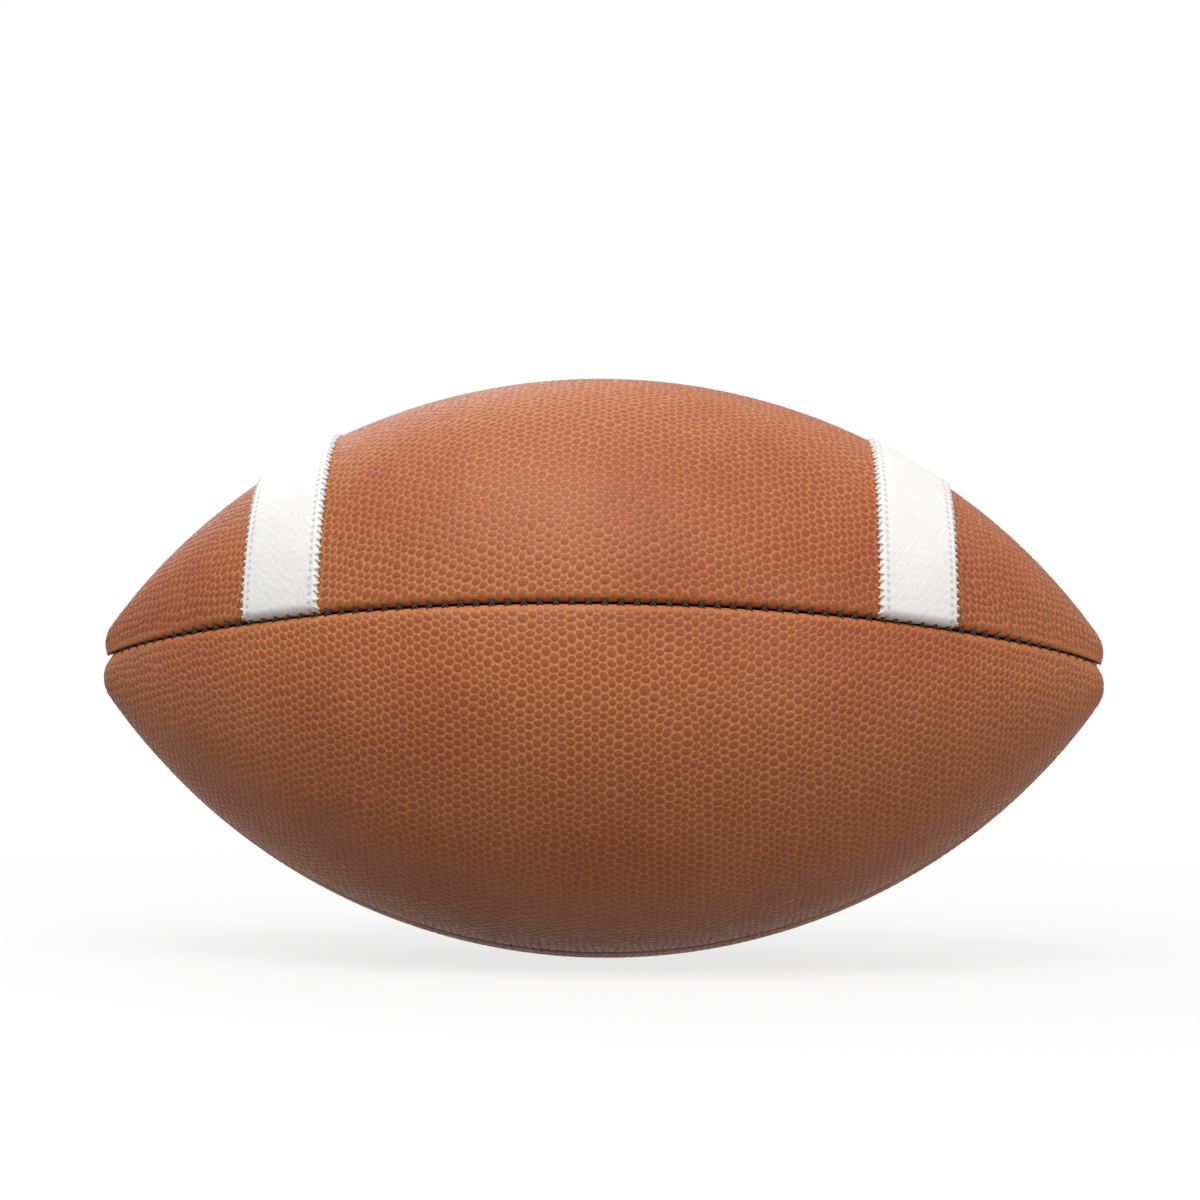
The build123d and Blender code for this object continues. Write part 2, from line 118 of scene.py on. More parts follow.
# Stripes and their whipped edges, in millimetres apart from the shares of a panel's half width
STRIPE_EDGE_ROUND = 1.2
STRIPE_SUNK = 0.7
WRINKLE_HEIGHT = 0.055
NEEDLE_INSET = 2.1
NEEDLE_SIZE = 0.42
NEEDLE_DEPTH = 0.3
NEEDLE_HOLE_SHADE = 0.75
WHIP_REACH = 0.55
WHIP_FOOT = 0.1
WHIP_TOP = 0.05
WHIP_RADIUS = 0.46
WHIP_HALF_LENGTH = 1.0
WHIP_SLANT_SHARE = 0.007
WHIP_SPAN_SHARE = 0.975
WHIP_SPREAD = math.pi / 4 + 0.06

# Seam stitches, in millimetres apart from the slant
STITCH_DEPTH = 0.75
STITCH_RADIUS = 0.32
STITCH_HALF_LENGTH = 1.7
STITCH_SLANT = 0.8
STITCH_FREE_TIP = 14.0
LACE_ZONE = 62.0

# Lace and valve, in millimetres apart from the powers, which shape a round
LACE_PITCH = 14.0
LACE_BARS = 8
LACE_REACH = 11.0
LACE_WIDTH = 6.0
LACE_THICKNESS = 2.1
LACE_PLACES = [LACE_PITCH * (bar - (LACE_BARS - 1) / 2) for bar in range(LACE_BARS)]
LACE_END = LACE_PLACES[-1] + LACE_PITCH / 2
LACE_SEAT = 1.25
LACE_END_BEND = 4.0
LACE_END_DROP = 5.5
BAR_SEAT = 1.15
BAR_ARCH = 2.05
BAR_ARCH_HALF_WIDTH = 4.6
BAR_OVERRUN = 0.9
BAR_BEND_START = 8.6
BAR_BEND = 3.3
BAR_DROP = 6.5
BAR_BEND_POWER = 2.2
LACE_SIDE_POWER = 0.45
LACE_TOP_POWER = 0.7
LACE_HOLE_DEPTH = 0.6
LACE_HOLE_INSET = 0.5
LACE_HOLE_HALF_LENGTH = 3.5
LACE_HOLE_HALF_WIDTH = 1.2
# How dark the painted shade in each lace hole is, as a share
LACE_HOLE_SHADE = 0.97
VALVE_PANEL = 1
VALVE_HOLE_RADIUS = 4.6
VALVE_HOLE_DEPTH = 4.0
VALVE_RIM_REACH = 0.45

# Stage, in metres and watts: each lamp's name, place, size and power
LAMPS = (
    ("key_light", (-0.15, -0.75, 1.25), 1.1, 17.0),
    ("fill_light", (0.9, -1.1, 0.35), 0.9, 4.0),
    ("back_light", (-0.5, 1.1, 0.9), 0.9, 5.0),
)
FLOOR_HALF = 3.0
FLOOR_GAP = 0.0002
SHADOW_REACH = (0.18, 0.6)
SHADOW_WHITE = 0.78
WORLD_LIGHT = 0.38

# The photograph's camera
FRAME_PIXELS = 1200
BALL_CENTRE_PIXEL = (602.9, 665.6)
FRAME_WIDTH = 0.3463
CAMERA_DISTANCE = 0.9
CAMERA_ROLL = math.radians(0.54)
CAMERA_SIDE = math.radians(1.3)
SENSOR = 36.0


class FootballSizes(bpy.types.PropertyGroup):
    """Sizes and colours of the ball's finish."""

    pebble: bpy.props.FloatProperty(
        name="Pebble", description="Spacing of the leather's pebbles in millimetres", default=2.5)
    pebble_height: bpy.props.FloatProperty(
        name="Pebble height", description="Height of a pebble in millimetres", default=0.26)
    seam_roll: bpy.props.FloatProperty(
        name="Seam roll", description="Radius of the leather's roll into a seam in millimetres", default=2.7)
    stripe_near: bpy.props.FloatProperty(
        name="Stripe near edge", description="Millimetres from the middle of the ball", default=75.5)
    stripe_far: bpy.props.FloatProperty(
        name="Stripe far edge", description="Millimetres from the middle of the ball", default=97.0)
    stripe_height: bpy.props.FloatProperty(
        name="Stripe height", description="How far a stripe stands up in millimetres", default=1.1)
    stripe_stitch: bpy.props.FloatProperty(
        name="Stripe stitch", description="Spacing of a stripe's stitches in millimetres", default=2.2)
    seam_stitch: bpy.props.FloatProperty(
        name="Seam stitch", description="Spacing of a seam's stitches in millimetres", default=4.2)
    leather_cell: bpy.props.FloatVectorProperty(
        name="Pebble colour", description="Leather on top of the pebbles", subtype="COLOR",
        default=(0.385, 0.100, 0.031))
    leather_valley: bpy.props.FloatVectorProperty(
        name="Valley colour", description="Leather between the pebbles", subtype="COLOR",
        default=(0.62, 0.235, 0.080))
    stripe_colour: bpy.props.FloatVectorProperty(
        name="Stripe colour", description="Painted stripe", subtype="COLOR", default=(0.92, 0.905, 0.885))
    thread_dark: bpy.props.FloatVectorProperty(
        name="Seam thread", description="Dark waxed thread", subtype="COLOR", default=(0.022, 0.012, 0.008))


def sizes():
    return bpy.context.scene.football


def outward(angle):
    """Direction away from the ball's axis, for angles in radians up from the front."""
    return np.stack([np.zeros_like(angle), -np.cos(angle), np.sin(angle)], axis=-1)


def seam_angle(seam):
    return math.radians(SEAM_LEAN + 90 * seam)


def panel_axis(quarter):
    """A point on a panel's own axis."""
    low, high = outward(np.array(seam_angle(quarter))), outward(np.array(seam_angle(quarter + 1)))
    point = (low + high) * LOBE_OFFSET
    if quarter in LACED:
        point = point - outward(np.array(seam_angle(LACE_SEAM))) * LACE_DROP
    return point


def seam_distances(quarter):
    """How far a panel's axis lies from its low and its high seam plane."""
    low = LOBE_OFFSET - (LACE_DROP if quarter == 0 else 0)
    high = LOBE_OFFSET - (LACE_DROP if quarter == 1 else 0)
    return low, high


def meridian(u):
    """Place along the ball, radius about the panel's axis and slope, at a length from the crown."""
    size = np.abs(u)
    on_nose = size > ARC_LENGTH
    slope = np.where(on_nose, ARC_ANGLE + (size - ARC_LENGTH) / NOSE_RADIUS, size / ARC_RADIUS)
    x = np.where(on_nose, NOSE_CENTRE + NOSE_RADIUS * np.sin(slope), ARC_RADIUS * np.sin(slope))
    radius = np.where(on_nose, NOSE_RADIUS * np.cos(slope), ARC_RADIUS * np.cos(slope) - ARC_DROP)
    return np.sign(u) * x, np.maximum(radius, 0), np.sign(u) * slope


def edge_angle(radius, distance):
    """Angle round a panel's axis at which its skin meets a seam plane."""
    ratio = np.clip(distance / np.maximum(radius, 1e-6), 0, 1)
    past = np.clip((distance - radius) / (TIP_SHARE * distance), 0, 1)
    return np.arccos(-ratio) - math.pi / 4 + past * TIP_TURN


def roll_at(radius):
    """Radius of the leather's roll into a seam, which tightens towards the tips."""
    return sizes().seam_roll * np.clip(radius / FULL_ROLL_RADIUS, LEAST_ROLL_SHARE, 1)


def lay_out(quarter, u, t):
    """Angle round a panel's axis and distance from its nearer seam, for u along it and t across it.

    u is a length from the crown, and t goes from -1 at the low seam to 1 at the high one.
    """
    radius = meridian(u)[1]
    low, high = seam_distances(quarter)
    low_edge, high_edge = edge_angle(radius, low), edge_angle(radius, high)
    phi = np.where(t < 0, t * low_edge, t * high_edge)
    from_low = low + radius * np.cos(math.pi / 4 - phi)
    from_high = high + radius * np.cos(math.pi / 4 + phi)
    return phi, np.maximum(np.minimum(from_low, from_high), 0)


def flatten(quarter, u, t):
    """Distance from the nearer seam, and length across the panel from its middle line."""
    phi, near = lay_out(quarter, u, t)
    return near, phi * meridian(u)[1]


def skin(quarter, u, t, height):
    """Points in millimetres on a panel, at a height over its skin, which rolls in at the seams."""
    x, radius, slope = meridian(u)
    phi, near = lay_out(quarter, u, t)
    roll = roll_at(radius)
    inside = np.clip(roll - near, 0, roll)
    depth = roll - np.sqrt(np.maximum(roll**2 - inside**2, 0))
    lift = height - depth
    middle = seam_angle(quarter) + math.pi / 4
    away = outward(middle + phi)
    along = (x + lift * np.sin(slope))[..., None] * np.array([1.0, 0, 0])
    return panel_axis(quarter) + along + away * (radius + lift * np.cos(slope))[..., None]


def soft_step(value):
    """Eases from 0 to 1 as a value goes from 0 to 1."""
    value = np.clip(value, 0, 1)
    return value * value * (3 - 2 * value)


def pebble_places(u, v, pitch, seed):
    """Places on the flattened panel, pulled about in slow waves so that no two pebbles are alike."""
    draw = np.random.default_rng(seed)
    moved = [u.copy(), v.copy()]
    for axis in moved:
        for _ in range(WARP_WAVES):
            turn, phase = draw.uniform(0, 2 * math.pi, 2)
            length = pitch * draw.uniform(*WARP_LENGTH_SHARES)
            across = u * math.cos(turn) + v * math.sin(turn)
            axis += WARP_SHARE * pitch * np.sin(across * 2 * math.pi / length + phase)
    return np.stack([*moved, np.zeros_like(u)], axis=-1)


def pebble_waves(pitch):
    """The three waves, a sixth of a turn apart, whose crests meet on each pebble."""
    count = 4 * math.pi / (math.sqrt(3) * pitch)
    turns = [sixth * math.pi / 3 for sixth in range(3)]
    return [(count * math.cos(turn), count * math.sin(turn), 0) for turn in turns]


def pebbles(place, pitch):
    """1 on each pebble and 0 in the valleys round it."""
    total = sum(np.cos(place @ np.array(wave)) for wave in pebble_waves(pitch))
    return soft_step((total - PEBBLE_FOOT) / (PEBBLE_TOP - PEBBLE_FOOT))


def lace_holes(quarter, u, t, near):
    """1 in each lace hole of a laced panel and 0 elsewhere."""
    mask = np.zeros_like(u)
    if quarter in LACED:
        beside = (t > 0) if quarter == 0 else (t < 0)
        for place in LACE_PLACES:
            along = (u - place) / LACE_HOLE_HALF_LENGTH
            across = (near - LACE_REACH - LACE_HOLE_INSET) / LACE_HOLE_HALF_WIDTH
            mask = np.maximum(mask, np.exp(-(along**4) - across**2) * beside)
    return mask


def open_hole(u, t, v):
    """Draws the grid's points onto the rim of the valve's hole, and marks those inside it."""
    far = np.hypot(u, v)
    near_rim = np.abs(far - VALVE_HOLE_RADIUS) < VALVE_RIM_REACH
    pull = np.where(near_rim, VALVE_HOLE_RADIUS / np.maximum(far, 1e-6), 1.0)
    return u * pull, t * pull, (far < VALVE_HOLE_RADIUS).astype(float)


def add_mesh(name, points, faces, material, attributes):
    """A finished smooth object in metres, with its float and vector attributes."""
    mesh = bpy.data.meshes.new(name)
    mesh.from_pydata((points * MM).tolist(), [], faces)
    for key, values in attributes.items():
        kind, field = ("FLOAT", "value") if values.ndim == 1 else ("FLOAT_VECTOR", "vector")
        layer = mesh.attributes.new(key, kind, "POINT")
        layer.data.foreach_set(field, values.astype(np.float32).ravel())
    mesh.shade_smooth()
    mesh.materials.append(material)
    mesh.update()
    piece = bpy.data.objects.new(name, mesh)
    bpy.context.scene.collection.objects.link(piece)
    return piece


def grid_faces(rows, columns, start, flip):
    """Quads of a grid whose points are numbered row by row from a start."""
    corner = start + np.arange(rows - 1)[:, None] * columns + np.arange(columns - 1)[None, :]
    quads = np.stack([corner, corner + columns, corner + columns + 1, corner + 1], axis=-1).reshape(-1, 4)
    return (quads[:, ::-1] if flip else quads).tolist()


def wall_faces(outer, inner):
    """Quads between two rows of points of the same length."""
    return [[outer[k], outer[k + 1], inner[k + 1], inner[k]] for k in range(len(outer) - 1)]


def close_and_orient(piece):
    """Merges the points at the tips and turns every face outwards."""
    work = bmesh.new()
    work.from_mesh(piece.data)
    bmesh.ops.remove_doubles(work, verts=work.verts, dist=1e-6)
    bmesh.ops.recalc_face_normals(work, faces=work.faces)
    work.to_mesh(piece.data)
    work.free()


# Materials

def new_material(name):
    """An empty material with its Principled shader."""
    material = bpy.data.materials.new(name)
    material.use_nodes = True
    return material, material.node_tree.nodes, material.node_tree.links


def grain_group():
    """Fine skin grain: a height and a cloudy mask, both from Object coordinates."""
    group = bpy.data.node_groups.get("skin_grain")
    if group:
        return group
    group = bpy.data.node_groups.new("skin_grain", "ShaderNodeTree")
    group.interface.new_socket(name="Grain Scale", in_out="INPUT", socket_type="NodeSocketFloat")
    group.interface.new_socket(name="Cloud Scale", in_out="INPUT", socket_type="NodeSocketFloat")
    group.interface.new_socket(name="Grain", in_out="OUTPUT", socket_type="NodeSocketFloat")
    group.interface.new_socket(name="Cloud", in_out="OUTPUT", socket_type="NodeSocketFloat")
    nodes, links = group.nodes, group.links
    inputs, outputs = nodes.new("NodeGroupInput"), nodes.new("NodeGroupOutput")
    place = nodes.new("ShaderNodeTexCoord")
    for scale, result, detail in (("Grain Scale", "Grain", 3.0), ("Cloud Scale", "Cloud", 6.0)):
        noise = nodes.new("ShaderNodeTexNoise")
        noise.inputs["Detail"].default_value = detail
        links.new(place.outputs["Object"], noise.inputs["Vector"])
        links.new(inputs.outputs[scale], noise.inputs["Scale"])
        links.new(noise.outputs["Fac"], outputs.inputs[result])
    return group


def add_grain(nodes, grain_scale, cloud_scale):
    grain = nodes.new("ShaderNodeGroup")
    grain.node_tree = grain_group()
    grain.inputs["Grain Scale"].default_value = grain_scale
    grain.inputs["Cloud Scale"].default_value = cloud_scale
    return grain


def blend(nodes, links, factor, first, second, kind="MIX"):
    """A colour mix whose factor, first and second may be sockets or plain values."""
    mix = nodes.new("ShaderNodeMix")
    mix.data_type = "RGBA"
    mix.blend_type = kind
    for socket, value in ((mix.inputs[0], factor), (mix.inputs[6], first), (mix.inputs[7], second)):
        if hasattr(value, "is_linked"):
            links.new(value, socket)
        elif isinstance(value, float):
            socket.default_value = value
        else:
            socket.default_value = (*value, 1)
    return mix.outputs[2]


def ramp(nodes, links, value, low, high, start=0.0, end=1.0):
    """Maps a value from one span to another, held at both ends."""
    node = nodes.new("ShaderNodeMapRange")
    for key, number in (("From Min", low), ("From Max", high), ("To Min", start), ("To Max", end)):
        node.inputs[key].default_value = number
    links.new(value, node.inputs["Value"])
    return node.outputs["Result"]


def add_bump(nodes, links, height, distance, strength):
    bump = nodes.new("ShaderNodeBump")
    bump.inputs["Distance"].default_value = distance
    bump.inputs["Strength"].default_value = strength
    links.new(height, bump.inputs["Height"])
    links.new(bump.outputs["Normal"], nodes["Principled BSDF"].inputs["Normal"])


def seeing_rays(nodes, links):
    """1 for the rays that look at a backdrop, straight, in gloss or through glass, and 0 for its light."""
    path = nodes.new("ShaderNodeLightPath")
    total = path.outputs["Is Camera Ray"]
    for kind in ("Is Glossy Ray", "Is Transmission Ray"):
        more = nodes.new("ShaderNodeMath")
        more.operation = "MAXIMUM"
        links.new(total, more.inputs[0])
        links.new(path.outputs[kind], more.inputs[1])
        total = more.outputs[0]
    return total


def read_attribute(nodes, name):
    node = nodes.new("ShaderNodeAttribute")
    node.attribute_name = name
    return node.outputs["Fac"]


def pebble_mask(nodes, links):
    """1 on a pebble and 0 in the valleys round it, from each point's place on its flattened panel."""
    place = nodes.new("ShaderNodeAttribute")
    place.attribute_name = "panel_place"
    total = None
    for wave in pebble_waves(sizes().pebble):
        along, crest = nodes.new("ShaderNodeVectorMath"), nodes.new("ShaderNodeMath")
        along.operation, crest.operation = "DOT_PRODUCT", "COSINE"
        along.inputs[1].default_value = wave
        links.new(place.outputs["Vector"], along.inputs[0])
        links.new(along.outputs["Value"], crest.inputs[0])
        if total:
            more = nodes.new("ShaderNodeMath")
            links.new(total, more.inputs[0])
            links.new(crest.outputs[0], more.inputs[1])
            total = more.outputs[0]
        else:
            total = crest.outputs[0]
    pebble = ramp(nodes, links, total, PEBBLE_FOOT, PEBBLE_TOP)
    smooth = nodes.new("ShaderNodeMath")
    smooth.operation = "MULTIPLY"
    links.new(pebble, smooth.inputs[0])
    links.new(read_attribute(nodes, "pebbled"), smooth.inputs[1])
    return smooth.outputs[0]


def leather_material():
    """Tan leather: dark red-brown pebbles, lighter valleys, cloudy dye, rubbed seams and painted shade in
    seams and holes.
    """
    material, nodes, links = new_material("pebbled_leather")
    shader = nodes["Principled BSDF"]
    grain = add_grain(nodes, 900, 17)
    seam = read_attribute(nodes, "seam")
    pebble = pebble_mask(nodes, links)
    colour = blend(nodes, links, pebble, sizes().leather_valley, sizes().leather_cell)
    cloud = ramp(nodes, links, grain.outputs["Cloud"], 0.42, 0.66, 0.0, 0.6)
    colour = blend(nodes, links, cloud, colour, (0.76, 0.50, 0.42), "MULTIPLY")
    fine = ramp(nodes, links, grain.outputs["Grain"], 0.3, 0.7, 0.0, 0.3)
    colour = blend(nodes, links, fine, colour, (0.55, 0.45, 0.42), "MULTIPLY")
    rubbed = ramp(nodes, links, seam, 0.05, 0.7, 0.0, 0.55)
    colour = blend(nodes, links, rubbed, colour, (0.55, 0.165, 0.042))
    # Painted shade: near black down the middle of each seam and in the lace and valve holes
    painted_shade = ramp(nodes, links, seam, 0.86, 0.99)
    colour = blend(nodes, links, painted_shade, colour, (0.035, 0.016, 0.009))
    links.new(colour, shader.inputs["Base Color"])
    links.new(ramp(nodes, links, pebble, 0.0, 1.0, 0.62, 0.43), shader.inputs["Roughness"])
    shader.inputs["Specular IOR Level"].default_value = 0.34
    relief = nodes.new("ShaderNodeMath")
    relief.operation = "MULTIPLY_ADD"
    relief.inputs[1].default_value = 0.25
    links.new(grain.outputs["Grain"], relief.inputs[0])
    links.new(pebble, relief.inputs[2])
    add_bump(nodes, links, relief.outputs[0], 0.00025, 0.5)
    return material


def stripe_material():
    """White paint on fine-grained leather, greyed a little, with painted shade in the needle's holes along
    its edges.
    """
    material, nodes, links = new_material("painted_stripe")
    shader = nodes["Principled BSDF"]
    grain = add_grain(nodes, 700, 60)
    cloud = ramp(nodes, links, grain.outputs["Cloud"], 0.4, 0.75, 0.0, 0.35)
    colour = blend(nodes, links, cloud, sizes().stripe_colour, (0.74, 0.72, 0.69))
    # Painted shade: dark grey in the needle holes
    colour = blend(nodes, links, read_attribute(nodes, "hole"), colour, (0.20, 0.17, 0.15))
    links.new(colour, shader.inputs["Base Color"])
    links.new(ramp(nodes, links, grain.outputs["Grain"], 0.3, 0.7, 0.42, 0.6), shader.inputs["Roughness"])
    add_bump(nodes, links, grain.outputs["Grain"], 0.0002, 0.7)
    return material


def plain_material(name, light, dark, scale, roughness, depth):
    """A mottled finish for thread, cloth, rubber or lace, from the shared grain."""
    material, nodes, links = new_material(name)
    shader = nodes["Principled BSDF"]
    grain = add_grain(nodes, scale, scale / 12)
    mask = ramp(nodes, links, grain.outputs["Grain"], 0.3, 0.7)
    links.new(blend(nodes, links, mask, dark, light), shader.inputs["Base Color"])
    rough = ramp(nodes, links, grain.outputs["Cloud"], 0.3, 0.7, roughness - 0.08, roughness + 0.08)
    links.new(rough, shader.inputs["Roughness"])
    add_bump(nodes, links, grain.outputs["Grain"], depth, 0.6)
    return material


# Stitches

def stitch_tree():
    """Geometry Nodes: one rounded stitch on each point, turned along the point's own direction."""
    tree = bpy.data.node_groups.get("stitch_row")
    if tree:
        return tree
    tree = bpy.data.node_groups.new("stitch_row", "GeometryNodeTree")
    for name, kind in (("Geometry", "NodeSocketGeometry"), ("Thread Radius", "NodeSocketFloat"),
                       ("Half Length", "NodeSocketFloat"), ("Thread", "NodeSocketMaterial")):
        tree.interface.new_socket(name=name, in_out="INPUT", socket_type=kind)
    tree.interface.new_socket(name="Geometry", in_out="OUTPUT", socket_type="NodeSocketGeometry")
    nodes, links = tree.nodes, tree.links
    inputs, outputs = nodes.new("NodeGroupInput"), nodes.new("NodeGroupOutput")
    bead = nodes.new("GeometryNodeMeshUVSphere")
    bead.inputs["Segments"].default_value = 8
    bead.inputs["Rings"].default_value = 6
    bead.inputs["Radius"].default_value = 1.0
    along = nodes.new("GeometryNodeInputNamedAttribute")
    along.data_type = "FLOAT_VECTOR"
    along.inputs["Name"].default_value = "along"
    turn = nodes.new("FunctionNodeAlignRotationToVector")
    turn.axis = "Z"
    scale = nodes.new("ShaderNodeCombineXYZ")
    spread = nodes.new("GeometryNodeInstanceOnPoints")
    realize = nodes.new("GeometryNodeRealizeInstances")
    smooth = nodes.new("GeometryNodeSetShadeSmooth")
    finish = nodes.new("GeometryNodeSetMaterial")
    links.new(inputs.outputs["Geometry"], spread.inputs["Points"])
    links.new(bead.outputs["Mesh"], spread.inputs["Instance"])
    links.new(along.outputs["Attribute"], turn.inputs["Vector"])
    links.new(turn.outputs["Rotation"], spread.inputs["Rotation"])
    links.new(inputs.outputs["Thread Radius"], scale.inputs["X"])
    links.new(inputs.outputs["Thread Radius"], scale.inputs["Y"])
    links.new(inputs.outputs["Half Length"], scale.inputs["Z"])
    links.new(scale.outputs["Vector"], spread.inputs["Scale"])
    links.new(spread.outputs["Instances"], realize.inputs["Geometry"])
    links.new(realize.outputs["Geometry"], smooth.inputs["Geometry"])
    links.new(smooth.outputs["Geometry"], finish.inputs["Geometry"])
    links.new(inputs.outputs["Thread"], finish.inputs["Material"])
    links.new(finish.outputs["Geometry"], outputs.inputs["Geometry"])
    return tree


def sew(name, points, directions, radius, half_length, material):
    """A row of stitches as one plain mesh, from points and directions in millimetres."""
    mesh = bpy.data.meshes.new(name)
    mesh.from_pydata((points * MM).tolist(), [], [])
    layer = mesh.attributes.new("along", "FLOAT_VECTOR", "POINT")
    layer.data.foreach_set("vector", directions.astype(np.float32).ravel())
    piece = bpy.data.objects.new(name, mesh)
    bpy.context.scene.collection.objects.link(piece)
    tree = stitch_tree()
    modifier = piece.modifiers.new("stitches", "NODES")
    modifier.node_group = tree
    values = {"Thread Radius": radius * MM, "Half Length": half_length * MM, "Thread": material}
    for item in tree.interface.items_tree:
        if item.in_out == "INPUT" and item.name in values:
            modifier[item.identifier] = values[item.name]
    bpy.context.view_layer.update()
    ready = piece.evaluated_get(bpy.context.evaluated_depsgraph_get())
    sewn = bpy.data.meshes.new_from_object(ready)
    piece.modifiers.clear()
    piece.data = sewn
    return piece


def unit(vectors):
    return vectors / np.linalg.norm(vectors, axis=-1, keepdims=True)


def settle(piece, node):
    """Seats a finished piece on the ball in place of its solid."""
    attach(piece, "ball")
    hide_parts(node)


class FOOTBALL_OT_panels(bpy.types.Operator):
    """Model the four pebbled leather panels"""

    bl_idname = "football.panels"
    bl_label = "Leather panels"

    def execute(self, context):
        form = sizes()
        material = leather_material()
        u_row = np.linspace(-HALF_MERIDIAN, HALF_MERIDIAN, PANEL_ROWS)
        t_row = np.linspace(-1, 1, PANEL_COLUMNS)
        inner_u, inner_t = np.meshgrid(u_row, np.array(INNER_COLUMNS), indexing="ij")
        for quarter, name in enumerate(PANELS):
            u, t = np.meshgrid(u_row, t_row, indexing="ij")
            near, v = flatten(quarter, u, t)
            sunk = np.zeros_like(u)
            if quarter == VALVE_PANEL:
                u, t, sunk = open_hole(u, t, v)
            place = pebble_places(u, v, form.pebble, quarter)
            bead = pebbles(place, form.pebble)
            fade = soft_step((near - SMOOTH_EDGE) / (SMOOTH_FADE_SHARE * form.seam_roll))
            pierced = lace_holes(quarter, u, t, near)
            height = form.pebble_height * (bead - PEBBLE_SUNK_SHARE) * fade
            height = height - LACE_HOLE_DEPTH * pierced - VALVE_HOLE_DEPTH * sunk
            outer = skin(quarter, u, t, height)
            inner_depth = np.where(np.abs(inner_t) == 1, FLANGE_DEPTH - form.seam_roll, LEATHER_DEPTH)
            inner = skin(quarter, inner_u, inner_t, -inner_depth)
            columns, inner_columns = PANEL_COLUMNS, len(INNER_COLUMNS)
            start = PANEL_ROWS * columns
            faces = grid_faces(PANEL_ROWS, columns, 0, False)
            faces += grid_faces(PANEL_ROWS, inner_columns, start, True)
            rows = range(PANEL_ROWS)
            low = ([row * columns for row in rows], [start + row * inner_columns for row in rows])
            high = ([row * columns + columns - 1 for row in rows],
                    [start + (row + 1) * inner_columns - 1 for row in rows])
            faces += wall_faces(*low) + wall_faces(*high)
            points = np.concatenate([outer.reshape(-1, 3), inner.reshape(-1, 3)])
            spare = np.ones(inner_u.size)
            # Painted shade for the lace and valve holes, carried in the seam mask
            holes = np.maximum(LACE_HOLE_SHADE * pierced, sunk)
            # 1 at each seam's middle and in the holes: it drives the rubbed seams and the painted shade in
            # the shader
            seam = np.maximum(1 - np.clip(near / form.seam_roll, 0, 1), holes)
            seam = np.concatenate([seam.ravel(), spare])
            pebbled = np.concatenate([(SMOOTH_SHADE_SHARE + (1 - SMOOTH_SHADE_SHARE) * fade).ravel(), spare])
            place = np.concatenate([place.reshape(-1, 3), np.zeros((inner_u.size, 3))])
            marks = {"pebbled": pebbled, "seam": seam, "panel_place": place}
            piece = add_mesh("leather_" + name, points, faces, material, marks)
            close_and_orient(piece)
            settle(piece, "panel_" + name)
        return {"FINISHED"}


